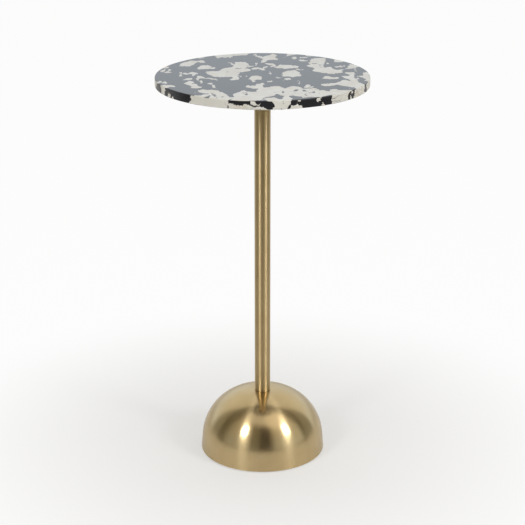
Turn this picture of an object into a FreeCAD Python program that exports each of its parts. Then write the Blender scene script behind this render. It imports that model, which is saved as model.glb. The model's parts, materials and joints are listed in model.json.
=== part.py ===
"""Wine table: a round terrazzo slab on a brass post, standing on a spun brass dome.

Lengths are in millimetres. The origin is on the floor under the middle of the table, with +Z up.
One tie bolt pulls the dome, its fill and the board against the lower end of the post. The upper end of
the post screws on to a stud in a round plate, and four screws hold that plate to the slab.
"""
import FreeCAD, Part
import math
import os
import Sketcher

os.makedirs("parts", exist_ok=True)
doc = FreeCAD.newDocument("wine_table")

# Driving sizes: name, number and what it measures

SIZES = [
    ("table_height", "570", "floor to the upper face of the slab"),
    ("slab_diameter", "300", "terrazzo slab across"),
    ("slab_thickness", "12", "terrazzo slab, upper face to underside"),
    ("slab_upper_round", "1.2", "radius on the slab's upper edge"),
    ("slab_lower_round", "0.8", "radius on the slab's lower edge"),
    ("plate_diameter", "110", "round plate under the slab"),
    ("plate_thickness", "4", "round plate, sheet thickness"),
    ("plate_chamfer", "1", "bevel on the plate's lower edge"),
    ("screw_circle", "84", "circle that the plate screws lie on"),
    ("screw_count", "4", "number of plate screws, and of inserts"),
    ("screw_thread", "5", "plate screw, thread diameter"),
    ("screw_grip", "6", "length of a plate screw inside its insert"),
    ("screw_clearance", "0.5", "hole in the plate, wider than the screw by this"),
    ("screw_head_diameter", "9.5", "button head across"),
    ("screw_head_height", "2.7", "button head, height"),
    ("screw_head_round", "1.5", "radius on the button head"),
    ("screw_socket_flats", "3", "hexagon socket across its flats"),
    ("screw_socket_depth", "1.6", "hexagon socket, depth"),
    ("insert_diameter", "7", "threaded insert, outside"),
    ("insert_length", "7", "threaded insert, length"),
    ("insert_spare", "0.5", "room above an insert in its blind hole"),
    ("stud_thread", "10", "stud in the plate, thread diameter"),
    ("stud_grip", "24", "length of the stud inside the post's upper plug"),
    ("thread_chamfer", "1", "bevel on the tips of the stud and the bolt"),
    ("post_diameter", "23", "post tube, outside"),
    ("post_wall", "1.5", "post tube, wall"),
    ("post_chamfer", "0.4", "bevel on the outer edges of the tube's ends"),
    ("plug_length", "32", "plug in each end of the tube"),
    ("dome_diameter", "184", "dome across its foot"),
    ("dome_height", "92", "floor to the flat that the post stands on"),
    ("dome_floor_gap", "1", "floor to the dome's foot"),
    ("dome_wall", "1.2", "dome, sheet thickness"),
    ("dome_foot_round", "0.4", "radius on the outer edge of the dome's foot"),
    ("skirt_lean", "4.4", "lean of the dome's skirt from upright, in degrees"),
    ("crown_flat_diameter", "28", "flat at the top of the dome"),
    ("crown_washer_inset", "1", "crown washer, inside the edge of the flat by this"),
    ("crown_washer_thickness", "4", "washer under the dome's flat"),
    ("sleeve_wall", "2.5", "spacer sleeve round the bolt, wall"),
    ("ballast_gap", "0.3", "room between the cement fill and the pieces that it lies in"),
    ("board_thickness", "18", "board that closes the dome"),
    ("board_gap", "0.5", "room between the board and the dome's sheet"),
    ("board_web", "4", "board left above the well"),
    ("well_diameter", "40", "well in the board for the bolt's head"),
    ("pad_thickness", "2", "soft ring that the table stands on"),
    ("pad_inset", "4", "soft ring, back from the edges of the board and the well by this"),
    ("bolt_thread", "10", "tie bolt, thread diameter"),
    ("bolt_grip", "19.3", "length of the bolt inside the post's lower plug"),
    ("bolt_clearance", "1", "holes for the bolt, wider than its thread by this"),
    ("bolt_head_flats", "16", "bolt head across its flats"),
    ("bolt_head_height", "6.4", "bolt head, height"),
    ("bolt_corner_angle", "30", "turned corners of the bolt head, from level, in degrees"),
    ("washer_diameter", "30", "flat washer, outside"),
    ("washer_thickness", "2.5", "flat washer, thickness"),
    ("lock_washer_diameter", "18", "spring washer, outside"),
    ("lock_washer_thickness", "2.2", "spring washer, thickness"),
    ("lock_washer_split", "2", "split in the spring washer"),
]

# Sizes worked out from the driving ones

WORKED = [
    ("slab_underside", "=Sizes.table_height - Sizes.slab_thickness", "height of the slab's underside"),
    ("plate_underside", "=slab_underside - Sizes.plate_thickness", "height of the plate's underside"),
    ("screw_place", "=Sizes.screw_circle / 2", "axis of the table to a plate screw"),
    ("screw_hole", "=Sizes.screw_thread + Sizes.screw_clearance", "hole in the plate"),
    ("screw_length", "=Sizes.plate_thickness + Sizes.screw_grip", "plate screw under its head"),
    ("insert_depth", "=Sizes.insert_length + Sizes.insert_spare", "blind hole in the slab"),
    ("stud_length", "=Sizes.plate_thickness + Sizes.stud_grip", "stud, end to end"),
    ("post_bore", "=Sizes.post_diameter - 2 * Sizes.post_wall", "post tube, inside"),
    ("post_length", "=plate_underside - Sizes.dome_height", "post tube, end to end"),
    ("lean", "=Sizes.skirt_lean * 1 deg", "lean of the skirt as an angle"),
    ("crown_flat_radius", "=Sizes.crown_flat_diameter / 2", "axis to the edge of the crown flat"),
    (
        "shoulder_radius",
        "=(Sizes.dome_diameter / 2 - crown_flat_radius"
        " - (Sizes.dome_height - Sizes.dome_floor_gap) * tan(lean))"
        " / (cos(lean) - (1 - sin(lean)) * tan(lean))",
        "round shoulder that runs smoothly from the skirt into the flat",
    ),
    ("shoulder_height", "=Sizes.dome_height - shoulder_radius", "height of the shoulder's centre"),
    ("crown_washer_diameter", "=Sizes.crown_flat_diameter - 2 * Sizes.crown_washer_inset", "crown washer"),
    ("crown_washer_top", "=Sizes.dome_height - Sizes.dome_wall", "height of the crown washer's upper face"),
    ("crown_washer_low", "=crown_washer_top - Sizes.crown_washer_thickness", "and of its lower face"),
    ("crown_recess", "=crown_washer_diameter + 2 * Sizes.ballast_gap", "recess in the fill for the washer"),
    ("ballast_inset", "=Sizes.dome_wall + Sizes.ballast_gap", "dome's outside to the fill"),
    ("board_inset", "=Sizes.dome_wall + Sizes.board_gap", "dome's outside to the board"),
    ("board_top", "=Sizes.pad_thickness + Sizes.board_thickness", "height of the board's upper face"),
    (
        "board_foot_radius",
        "=Sizes.dome_diameter / 2 - (Sizes.pad_thickness - Sizes.dome_floor_gap) * tan(lean)"
        " - board_inset / cos(lean)",
        "board's radius at its lower face",
    ),
    ("pad_diameter", "=2 * (board_foot_radius - Sizes.pad_inset)", "soft ring, outside"),
    ("pad_bore", "=Sizes.well_diameter + 2 * Sizes.pad_inset", "soft ring, inside"),
    ("bolt_hole", "=Sizes.bolt_thread + Sizes.bolt_clearance", "hole that the bolt passes through"),
    ("sleeve_diameter", "=bolt_hole + 2 * Sizes.sleeve_wall", "spacer sleeve, outside"),
    ("sleeve_length", "=crown_washer_low - board_top", "spacer sleeve, board to crown washer"),
    ("well_top", "=board_top - Sizes.board_web", "height of the well's ceiling"),
    ("washer_low", "=well_top - Sizes.washer_thickness", "height of the flat washer's lower face"),
    ("lock_washer_low", "=washer_low - Sizes.lock_washer_thickness", "and of the spring washer's"),
    ("bolt_head_low", "=lock_washer_low - Sizes.bolt_head_height", "and of the bolt head's"),
    ("bolt_length", "=Sizes.dome_height + Sizes.bolt_grip - lock_washer_low", "bolt under its head"),
    ("bolt_corner_radius", "=Sizes.bolt_head_flats / sqrt(3)", "axis to a corner of the bolt's head"),
    ("socket_corner_radius", "=Sizes.screw_socket_flats / sqrt(3)", "axis to a corner of a screw's socket"),
]


def fill_sheet(name, rows):
    """A sheet with a line for each size: what it measures, and its value under the size's name."""
    sheet = doc.addObject("Spreadsheet::Sheet", name)
    for row, (alias, content, meaning) in enumerate(rows, start=1):
        sheet.set(f"A{row}", meaning)
        sheet.set(f"B{row}", content)
        sheet.setAlias(f"B{row}", alias)
    doc.recompute()
    return sheet


sizes = fill_sheet("Sizes", SIZES)
worked = fill_sheet("Worked", WORKED)


def read(expression):
    """The present value of an expression on the sheets, as a plain number."""
    result = worked.evalExpression(expression)
    return float(getattr(result, "Value", result))


# Bodies and sketches

def origin_of(body, role):
    """One of a body's own origin planes or axes."""
    return next(feature for feature in body.Origin.OriginFeatures if feature.Role == role)


def new_body(label):
    body = doc.addObject("PartDesign::Body", label)
    body.Label = label
    return body


def new_sketch(body, name, role="XY_Plane", height=None):
    """A sketch on one of the body's origin planes, raised to a height where one is given."""
    sketch = body.newObject("Sketcher::SketchObject", f"{body.Name}_{name}")
    sketch.AttachmentSupport = [(origin_of(body, role), "")]
    sketch.MapMode = "FlatFace"
    if height:
        sketch.setExpression("AttachmentOffset.Base.z", height)
    return sketch


def bind(sketch, expression, kind, *places):
    """A dimension in a sketch that follows an expression."""
    number = sketch.addConstraint(Sketcher.Constraint(kind, *places, read(expression)))
    sketch.setExpression(f"Constraints[{number}]", expression)


def hold(sketch, geometry, point, across, up):
    """Keep a point of a sketch at distances across and up from the origin, on an axis where one is None."""
    if across:
        bind(sketch, across, "DistanceX", -1, 1, geometry, point)
    else:
        sketch.addConstraint(Sketcher.Constraint("PointOnObject", geometry, point, -2))
    if up:
        bind(sketch, up, "DistanceY", -1, 1, geometry, point)
    else:
        sketch.addConstraint(Sketcher.Constraint("PointOnObject", geometry, point, -1))


def flat_point(across, up):
    """A first place for a point of a sketch; None stands for a place on the axis."""
    return FreeCAD.Vector(read(across) if across else 0, read(up) if up else 0, 0)


def draw_circle(sketch, diameter, across=None):
    """A circle round the table's axis, or round a point that lies across from it."""
    centre = flat_point(across, None)
    circle = Part.Circle(centre, FreeCAD.Vector(0, 0, 1), read(diameter) / 2)
    geometry = sketch.addGeometry(circle)
    hold(sketch, geometry, 3, across, None)
    bind(sketch, diameter, "Diameter", geometry)


def draw_outline(sketch, corners):
    """A closed outline of straight lines, each corner given as its distances across and up."""
    points = [flat_point(*corner) for corner in corners]
    lines = [
        sketch.addGeometry(Part.LineSegment(start, end))
        for start, end in zip(points, points[1:] + points[:1])
    ]
    for line, following in zip(lines, lines[1:] + lines[:1]):
        sketch.addConstraint(Sketcher.Constraint("Coincident", line, 2, following, 1))
    for line, corner in zip(lines, corners):
        hold(sketch, line, 1, *corner)


def draw_hexagon(sketch, corner_radius, across=None):
    """A regular hexagon with two level sides, its corners on a circle of construction."""
    centre = flat_point(across, None)
    radius = read(corner_radius)
    circle = sketch.addGeometry(Part.Circle(centre, FreeCAD.Vector(0, 0, 1), radius), True)
    turns = [math.radians(60 * corner) for corner in range(6)]
    corners = [centre + FreeCAD.Vector(math.cos(turn), math.sin(turn), 0) * radius for turn in turns]
    sides = [
        sketch.addGeometry(Part.LineSegment(start, end))
        for start, end in zip(corners, corners[1:] + corners[:1])
    ]
    for side, following in zip(sides, sides[1:] + sides[:1]):
        sketch.addConstraint(Sketcher.Constraint("Coincident", side, 2, following, 1))
        sketch.addConstraint(Sketcher.Constraint("PointOnObject", side, 1, circle))
    for side, following in zip(sides, sides[1:]):
        sketch.addConstraint(Sketcher.Constraint("Equal", side, following))
    sketch.addConstraint(Sketcher.Constraint("Horizontal", sides[1]))
    hold(sketch, circle, 3, across, None)
    bind(sketch, corner_radius, "Radius", circle)


# Features

def raise_pad(body, sketch, length, downwards=False):
    pad = body.newObject("PartDesign::Pad", f"{sketch.Name}_pad")
    pad.Profile = sketch
    pad.Reversed = downwards
    pad.setExpression("Length", length)
    doc.recompute()
    return pad


def cut_pocket(body, sketch, depth=None, upwards=False):
    """Cut a sketch into the body, right through where no depth is given."""
    before = body.Shape.Volume
    pocket = body.newObject("PartDesign::Pocket", f"{sketch.Name}_cut")
    pocket.Profile = sketch
    pocket.Reversed = upwards
    if depth:
        pocket.setExpression("Length", depth)
    else:
        pocket.Type = "ThroughAll"
    doc.recompute()
    if not body.Shape.Volume < before:
        raise RuntimeError(f"{pocket.Name} cuts nothing")
    return pocket


def spin(body, sketch, kind="PartDesign::Revolution"):
    """Turn a half outline once round the table's axis, adding it or, as a groove, taking it away."""
    turned = body.newObject(kind, f"{sketch.Name}_turned")
    turned.Profile = sketch
    turned.ReferenceAxis = (sketch, ["V_Axis"])
    turned.Angle = 360
    doc.recompute()
    return turned


def rim_edges(feature, diameter, height):
    """The names of the round edges of a feature that have this diameter and lie at this height."""
    radius = read(diameter) / 2
    level = read(height)
    names = []
    for number, edge in enumerate(feature.Shape.Edges, start=1):
        curve = edge.Curve
        if isinstance(curve, Part.Circle) and math.isclose(curve.Radius, radius, rel_tol=1e-6):
            if math.isclose(curve.Center.z, level, rel_tol=1e-6):
                names.append(f"Edge{number}")
    if not names:
        raise RuntimeError(f"{feature.Name} has no such edge")
    return names


def ease_edge(body, kind, size_name, size, diameter, height):
    """A fillet or a chamfer on the round edge of this diameter at this height."""
    base = body.Tip
    eased = body.newObject(kind, f"{body.Name}_eased")
    eased.Base = (base, rim_edges(base, diameter, height))
    eased.setExpression(size_name, size)
    doc.recompute()
    return eased


def round_edge(body, radius, diameter, height):
    return ease_edge(body, "PartDesign::Fillet", "Radius", radius, diameter, height)


def bevel_edge(body, width, diameter, height):
    return ease_edge(body, "PartDesign::Chamfer", "Size", width, diameter, height)


def repeat_round(body, originals, whole=False):
    """Copies at even turns about the table's axis, as many as there are plate screws."""
    pattern = body.newObject("PartDesign::PolarPattern", f"{body.Name}_pattern")
    if whole:
        pattern.TransformMode = "Whole shape"
    else:
        pattern.Originals = originals
    pattern.Axis = (origin_of(body, "Z_Axis"), [""])
    pattern.Angle = 360
    pattern.setExpression("Occurrences", "Sizes.screw_count")
    body.Tip = pattern
    doc.recompute()
    return pattern


def ring(label, diameter, bore, low, length):
    """A plain round piece with a bore, standing on the height low. A piece with no bore is solid."""
    body = new_body(label)
    sketch = new_sketch(body, "ring", height=low)
    draw_circle(sketch, diameter)
    if bore:
        draw_circle(sketch, bore)
    raise_pad(body, sketch, length)
    return body


# The terrazzo slab, and what is set in it

def terrazzo_top():
    underside = "Worked.slab_underside"
    body = ring("terrazzo_top", "Sizes.slab_diameter", None, underside, "Sizes.slab_thickness")
    round_edge(body, "Sizes.slab_upper_round", "Sizes.slab_diameter", "Sizes.table_height")
    round_edge(body, "Sizes.slab_lower_round", "Sizes.slab_diameter", underside)
    hole = new_sketch(body, "insert_hole", height=underside)
    draw_circle(hole, "Sizes.insert_diameter", "Worked.screw_place")
    repeat_round(body, [cut_pocket(body, hole, "Worked.insert_depth", upwards=True)])
    return body


def top_inserts():
    body = new_body("top_inserts")
    sketch = new_sketch(body, "insert", height="Worked.slab_underside")
    draw_circle(sketch, "Sizes.insert_diameter", "Worked.screw_place")
    draw_circle(sketch, "Sizes.screw_thread", "Worked.screw_place")
    repeat_round(body, [raise_pad(body, sketch, "Sizes.insert_length")])
    return body


# The plate under the slab, its screws and its stud

def top_plate():
    underside = "Worked.plate_underside"
    body = ring("top_plate", "Sizes.plate_diameter", "Sizes.stud_thread", underside, "Sizes.plate_thickness")
    bevel_edge(body, "Sizes.plate_chamfer", "Sizes.plate_diameter", underside)
    hole = new_sketch(body, "screw_hole", height=underside)
    draw_circle(hole, "Worked.screw_hole", "Worked.screw_place")
    repeat_round(body, [cut_pocket(body, hole, upwards=True)])
    return body


def plate_screws():
    """Button-head screws, each with a hexagon socket in its head."""
    body = new_body("plate_screws")
    shank = new_sketch(body, "shank", height="Worked.plate_underside")
    draw_circle(shank, "Sizes.screw_thread", "Worked.screw_place")
    raise_pad(body, shank, "Worked.screw_length")
    head = new_sketch(body, "head", height="Worked.plate_underside")
    draw_circle(head, "Sizes.screw_head_diameter", "Worked.screw_place")
    raise_pad(body, head, "Sizes.screw_head_height", downwards=True)
    head_face = "Worked.plate_underside - Sizes.screw_head_height"
    round_edge(body, "Sizes.screw_head_round", "Sizes.screw_head_diameter", head_face)
    socket = new_sketch(body, "socket", height=head_face)
    draw_hexagon(socket, "Worked.socket_corner_radius", "Worked.screw_place")
    cut_pocket(body, socket, "Sizes.screw_socket_depth", upwards=True)
    repeat_round(body, [], whole=True)
    return body


def plate_stud():
    """The stud fills the hole in the plate and hangs down into the post."""
    tip = "Worked.plate_underside - Sizes.stud_grip"
    body = ring("plate_stud", "Sizes.stud_thread", None, tip, "Worked.stud_length")
    bevel_edge(body, "Sizes.thread_chamfer", "Sizes.stud_thread", tip)
    return body


# The post

def post_tube():
    foot = "Sizes.dome_height"
    body = ring("post_tube", "Sizes.post_diameter", "Worked.post_bore", foot, "Worked.post_length")
    for end in (foot, "Worked.plate_underside"):
        bevel_edge(body, "Sizes.post_chamfer", "Sizes.post_diameter", end)
    return body


def post_plug(label, thread, low):
    return ring(label, "Worked.post_bore", thread, low, "Sizes.plug_length")


# The dome and what fills it

def draw_dome(sketch, inset, low):
    """The half outline of the dome, moved in by inset and cut level at the height low.

    From the axis it runs out along the cut, up the leaning skirt, round the shoulder's arc, in along the
    crown flat and back down the axis. The arc is tangent to the skirt and to the flat.
    """
    lean = math.radians(read("Sizes.skirt_lean"))
    centre = flat_point("Worked.crown_flat_radius", "Worked.shoulder_height")
    radius = read(f"Worked.shoulder_radius - {inset}")
    foot = flat_point(None, low)
    top = flat_point(None, f"Sizes.dome_height - {inset}")
    skirt_top = centre + FreeCAD.Vector(math.cos(lean), math.sin(lean), 0) * radius
    flat_edge = centre + FreeCAD.Vector(0, 1, 0) * radius
    reach = skirt_top.x + (skirt_top.y - foot.y) * math.tan(lean)
    skirt_foot = FreeCAD.Vector(reach, foot.y, 0)
    arc = Part.ArcOfCircle(Part.Circle(centre, FreeCAD.Vector(0, 0, 1), radius), lean, math.pi / 2)
    cut = sketch.addGeometry(Part.LineSegment(foot, skirt_foot))
    skirt = sketch.addGeometry(Part.LineSegment(skirt_foot, skirt_top))
    shoulder = sketch.addGeometry(arc)
    flat = sketch.addGeometry(Part.LineSegment(flat_edge, top))
    axis = sketch.addGeometry(Part.LineSegment(top, foot))
    for first, second in ((cut, skirt), (flat, axis), (axis, cut)):
        sketch.addConstraint(Sketcher.Constraint("Coincident", first, 2, second, 1))
    sketch.addConstraint(Sketcher.Constraint("Tangent", skirt, 2, shoulder, 1))
    sketch.addConstraint(Sketcher.Constraint("Tangent", shoulder, 2, flat, 1))
    sketch.addConstraint(Sketcher.Constraint("Horizontal", cut))
    sketch.addConstraint(Sketcher.Constraint("Horizontal", flat))
    sketch.addConstraint(Sketcher.Constraint("PointOnObject", axis, 1, -2))
    hold(sketch, cut, 1, None, low)
    hold(sketch, shoulder, 3, "Worked.crown_flat_radius", "Worked.shoulder_height")
    bind(sketch, f"Worked.shoulder_radius - {inset}", "Radius", shoulder)
    number = sketch.addConstraint(Sketcher.Constraint("Angle", skirt, math.pi / 2 + lean))
    sketch.setExpression(f"Constraints[{number}]", "90 deg + Worked.lean")


def dome_solid(label, inset, low):
    """A solid of the dome's shape, moved in by inset and standing on the height low."""
    body = new_body(label)
    sketch = new_sketch(body, "outline", "XZ_Plane")
    draw_dome(sketch, inset, low)
    spin(body, sketch)
    return body


def dome_shell():
    body = dome_solid("dome_shell", "0", "Sizes.dome_floor_gap")
    solid_volume = body.Shape.Volume
    inside = new_sketch(body, "inside", "XZ_Plane")
    draw_dome(inside, "Sizes.dome_wall", "Sizes.dome_floor_gap")
    spin(body, inside, "PartDesign::Groove")
    if not body.Shape.Volume < solid_volume / 2:
        raise RuntimeError("the dome is not hollow")
    hole = new_sketch(body, "bolt_hole", height="Worked.crown_washer_top")
    draw_circle(hole, "Worked.bolt_hole")
    cut_pocket(body, hole, upwards=True)
    round_edge(body, "Sizes.dome_foot_round", "Sizes.dome_diameter", "Sizes.dome_floor_gap")
    return body


def crown_washer():
    return ring(
        "crown_washer",
        "Worked.crown_washer_diameter",
        "Worked.bolt_hole",
        "Worked.crown_washer_low",
        "Sizes.crown_washer_thickness",
    )


def bolt_sleeve():
    return ring(
        "bolt_sleeve",
        "Worked.sleeve_diameter",
        "Worked.bolt_hole",
        "Worked.board_top",
        "Worked.sleeve_length",
    )


def ballast():
    """Cement that fills the dome from the board up, cast round the sleeve and under the crown washer."""
    body = dome_solid("ballast", "Worked.ballast_inset", "Sizes.pad_thickness")
    level = new_sketch(body, "level", height="Worked.board_top")
    draw_circle(level, "Sizes.dome_diameter")
    cut_pocket(body, level)
    recess = new_sketch(body, "washer_recess", height="Worked.crown_washer_low")
    draw_circle(recess, "Worked.crown_recess")
    cut_pocket(body, recess, upwards=True)
    bore = new_sketch(body, "sleeve_bore", height="Worked.board_top")
    draw_circle(bore, "Worked.sleeve_diameter")
    cut_pocket(body, bore, upwards=True)
    return body


def base_board():
    """Round board with a well from below, which hides the bolt's head and its washers."""
    body = dome_solid("base_board", "Worked.board_inset", "Sizes.pad_thickness")
    level = new_sketch(body, "level", height="Worked.board_top")
    draw_circle(level, "Sizes.dome_diameter")
    cut_pocket(body, level, upwards=True)
    well = new_sketch(body, "well", height="Worked.well_top")
    draw_circle(well, "Sizes.well_diameter")
    cut_pocket(body, well)
    hole = new_sketch(body, "bolt_hole", height="Worked.well_top")
    draw_circle(hole, "Worked.bolt_hole")
    cut_pocket(body, hole, upwards=True)
    return body


def floor_pad():
    return ring("floor_pad", "Worked.pad_diameter", "Worked.pad_bore", None, "Sizes.pad_thickness")


# The tie bolt and its washers

def bolt_washer():
    return ring(
        "bolt_washer",
        "Sizes.washer_diameter",
        "Worked.bolt_hole",
        "Worked.washer_low",
        "Sizes.washer_thickness",
    )


def lock_washer():
    """A ring with a split, pressed flat by the bolt."""
    body = ring(
        "lock_washer",
        "Sizes.lock_washer_diameter",
        "Worked.bolt_hole",
        "Worked.lock_washer_low",
        "Sizes.lock_washer_thickness",
    )
    split = new_sketch(body, "split", height="Worked.lock_washer_low")
    near, far = "-Sizes.lock_washer_split / 2", "Sizes.lock_washer_split / 2"
    reach = "Sizes.lock_washer_diameter"
    draw_outline(split, [(None, near), (reach, near), (reach, far), (None, far)])
    cut_pocket(body, split, upwards=True)
    return body


def base_bolt():
    """Hexagon bolt, its head's corners turned off at the lower face."""
    body = ring("base_bolt", "Sizes.bolt_thread", None, "Worked.lock_washer_low", "Worked.bolt_length")
    tip = "Sizes.dome_height + Sizes.bolt_grip"
    bevel_edge(body, "Sizes.thread_chamfer", "Sizes.bolt_thread", tip)
    head = new_sketch(body, "head", height="Worked.lock_washer_low")
    draw_hexagon(head, "Worked.bolt_corner_radius")
    raise_pad(body, head, "Sizes.bolt_head_height", downwards=True)
    corner = new_sketch(body, "corner", "XZ_Plane")
    flat, reach = "Sizes.bolt_head_flats / 2", "Sizes.bolt_head_flats"
    rise = f"Worked.bolt_head_low + {flat} * tan(Sizes.bolt_corner_angle * 1 deg)"
    draw_outline(corner, [(flat, "Worked.bolt_head_low"), (reach, "Worked.bolt_head_low"), (reach, rise)])
    spin(body, corner, "PartDesign::Groove")
    return body


# Build every piece, check it, and write it out

PIECES = [
    terrazzo_top(),
    top_inserts(),
    top_plate(),
    plate_screws(),
    plate_stud(),
    post_tube(),
    post_plug("post_top_plug", "Sizes.stud_thread", "Worked.plate_underside - Sizes.plug_length"),
    post_plug("post_bottom_plug", "Sizes.bolt_thread", "Sizes.dome_height"),
    dome_shell(),
    crown_washer(),
    bolt_sleeve(),
    ballast(),
    base_board(),
    floor_pad(),
    bolt_washer(),
    lock_washer(),
    base_bolt(),
]
doc.recompute()

faults = [item.Name for item in doc.Objects if {"Invalid", "Error"} & set(item.State)]
faults += [piece.Label for piece in PIECES if piece.Shape.isNull() or not piece.Shape.isValid()]
if faults:
    raise RuntimeError(f"these did not build: {faults}")

print(f"shoulder radius {read('Worked.shoulder_radius'):.2f}, bolt length {read('Worked.bolt_length'):.2f}")
for piece in PIECES:
    piece.Shape.exportStep(f"parts/{piece.Label}.step")
    print(f"{piece.Label}: solids {len(piece.Shape.Solids)}, volume {piece.Shape.Volume:.0f} cubic mm")
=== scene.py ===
# %% [markdown]
# # A wine table in terrazzo and satin brass
# A small drinks table: a thin terrazzo slab on a brass post, and a spun brass dome that holds it up. The
# construction is finished already. It is loaded here as a fixed frame, and this lesson gives it its looks.
# Every new piece takes its place and size from the frame, so nothing has to be fitted by eye afterwards.

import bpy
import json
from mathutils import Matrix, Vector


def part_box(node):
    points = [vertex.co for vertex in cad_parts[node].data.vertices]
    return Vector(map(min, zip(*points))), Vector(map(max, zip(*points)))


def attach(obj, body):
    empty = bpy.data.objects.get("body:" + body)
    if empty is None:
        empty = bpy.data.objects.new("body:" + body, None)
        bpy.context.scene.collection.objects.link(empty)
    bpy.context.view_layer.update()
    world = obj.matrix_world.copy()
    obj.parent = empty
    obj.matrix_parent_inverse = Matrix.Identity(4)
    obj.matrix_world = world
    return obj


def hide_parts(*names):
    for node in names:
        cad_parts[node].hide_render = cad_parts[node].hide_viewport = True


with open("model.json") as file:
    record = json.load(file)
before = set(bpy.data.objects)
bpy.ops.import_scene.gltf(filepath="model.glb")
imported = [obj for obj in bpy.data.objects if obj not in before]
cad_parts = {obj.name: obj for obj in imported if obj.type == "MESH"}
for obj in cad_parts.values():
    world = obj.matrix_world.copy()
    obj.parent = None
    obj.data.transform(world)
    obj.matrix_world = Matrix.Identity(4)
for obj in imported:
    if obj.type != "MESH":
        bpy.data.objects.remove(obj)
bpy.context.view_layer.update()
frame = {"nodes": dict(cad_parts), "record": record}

# %% [markdown]
# ## Measuring the frame
# Nearly all of this table was turned: a lathe cut it, or a sheet was spun over a form. Such a piece is
# known by four numbers: its bore, its outer radius, its lowest point and its highest. They could be typed
# in, but here they are read from the node's own points, so a new piece still fits if the table is resized.

# %% Read a turned node's four numbers
import json
import math

import bpy
import numpy as np
from mathutils import Vector

MM = 0.001


def turned_size(node):
    """Bore radius, outer radius, lowest and highest point of a node that was turned about the z axis."""
    mesh = frame["nodes"][node].data
    points = np.empty(3 * len(mesh.vertices))
    mesh.vertices.foreach_get("co", points)
    x, y, z = points.reshape(-1, 3).T
    low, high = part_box(node)
    return np.hypot(x, y).min(), min(high.x, high.y, -low.x, -low.y), z.min(), z.max()


for node in ("terrazzo_top", "post_tube", "dome_shell"):
    print(node, [round(size / MM, 2) for size in turned_size(node)], "mm")

# %% [markdown]
# ## The camera
# The photograph was taken from a little above the slab, from some two metres away, with a long lens. A
# camera could be lined up by eye over a background picture, but one worked out from sizes stays put. The
# slab's ellipse gives the tilt, the way the post narrows towards its foot gives the distance, and the
# slab's width then gives the lens.

# %% Place the camera
CAMERA_BACK = 2.1032
CAMERA_HEIGHT = 1.0471
CAMERA_TILT = math.radians(19.72)
CAMERA_LENS = 105.43
SENSOR_WIDTH = 36

scene = bpy.context.scene


def put(name, data):
    """Adds an object for a camera, a lamp or a mesh to the scene, at the origin."""
    made = bpy.data.objects.new(name, data)
    scene.collection.objects.link(made)
    return made


camera = put("camera", bpy.data.cameras.new("camera"))
camera.location = (0, -CAMERA_BACK, CAMERA_HEIGHT)
camera.rotation_euler = (math.pi / 2 - CAMERA_TILT, 0, 0)
camera.data.lens = CAMERA_LENS
camera.data.sensor_width = SENSOR_WIDTH
scene.camera = camera
scene.view_settings.view_transform = "Standard"
print("the camera looks down by", round(math.degrees(CAMERA_TILT), 1), "degrees")

# %% [markdown]
# ## Shader sums as Python sums
# A material is a graph of nodes. Drawn by hand it soon becomes hard to read, so a small class wraps one
# node's output: adding or multiplying two of them adds a Math node, and `1 - mask` means what it says.
# Every other node comes from one method that takes its type, its settings and what goes into it.

# %% A wire from a node
def fill_ramp(elements, stops):
    """Gives a colour ramp its stops, each a place from 0 to 1 and a colour."""
    elements.remove(elements[1])
    elements[0].position = stops[0][0]
    elements[0].color = (*stops[0][1], 1)
    for place, colour in stops[1:]:
        elements.new(place).color = (*colour, 1)


class Wire:
    """One node's output in a shader. Arithmetic on wires and numbers adds Math nodes to the same shader."""

    def __init__(self, tree, socket=None):
        self.tree = tree
        self.socket = socket

    def node(self, kind, settings=None, inputs=None, output=0):
        """Adds a node of any type: settings first, then values or wires for inputs by name or number."""
        made = self.tree.nodes.new(kind)
        settings = dict(settings or {})
        if "stops" in settings:
            fill_ramp(made.color_ramp.elements, settings.pop("stops"))
        for name, value in settings.items():
            setattr(made, name, value)
        for name, value in (inputs or {}).items():
            if isinstance(value, Wire):
                self.tree.links.new(value.socket, made.inputs[name])
            else:
                made.inputs[name].default_value = value
        return Wire(self.tree, made.outputs[output] if made.outputs else None)

    def math(self, operation, *values):
        """Adds a Math node."""
        return self.node("ShaderNodeMath", {"operation": operation}, dict(enumerate(values)))

    def __add__(self, other):
        return self.math("ADD", self, other)

    def __sub__(self, other):
        return self.math("SUBTRACT", self, other)

    def __rsub__(self, other):
        return self.math("SUBTRACT", other, self)

    def __mul__(self, other):
        return self.math("MULTIPLY", self, other)

    __radd__ = __add__
    __rmul__ = __mul__

# %% [markdown]
# A few moves come back in every finish: a soft step from one value to another, a mix of two colours, and
# noise or cells of a given size. They are short functions on top of the class, and sizes stay in metres.

# %% Moves that every finish uses
# A Mix node repeats its sockets for numbers, vectors and colours, so those for colours go by number.
MIX_FACTOR, MIX_FIRST, MIX_SECOND, MIX_RESULT = 0, 6, 7, 2


def rise(value, low, high):
    """A soft step: 0 below low and 1 above high, or the other way round where low is the greater."""
    step = {"Value": value, "From Min": low, "From Max": high}
    return value.node("ShaderNodeMapRange", {"interpolation_type": "SMOOTHSTEP"}, step)


def blend(mask, first, second):
    """The first colour where the mask is 0 and the second where it is 1."""
    first, second = [colour if isinstance(colour, Wire) else (*colour, 1) for colour in (first, second)]
    inputs = {MIX_FACTOR: mask, MIX_FIRST: first, MIX_SECOND: second}
    return mask.node("ShaderNodeMix", {"data_type": "RGBA"}, inputs, MIX_RESULT)


def parts(vector, letters="XYZ"):
    """A vector's parts, one wire for each letter."""
    return [vector.node("ShaderNodeSeparateXYZ", None, {0: vector}, letter) for letter in letters]


def noise(place, size, detail=2, roughness=0.5):
    """Cloudy noise about 0.5, with its largest lumps one size across."""
    inputs = {"Vector": place, "Scale": 1 / size, "Detail": detail, "Roughness": roughness}
    return place.node("ShaderNodeTexNoise", None, inputs)


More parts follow.
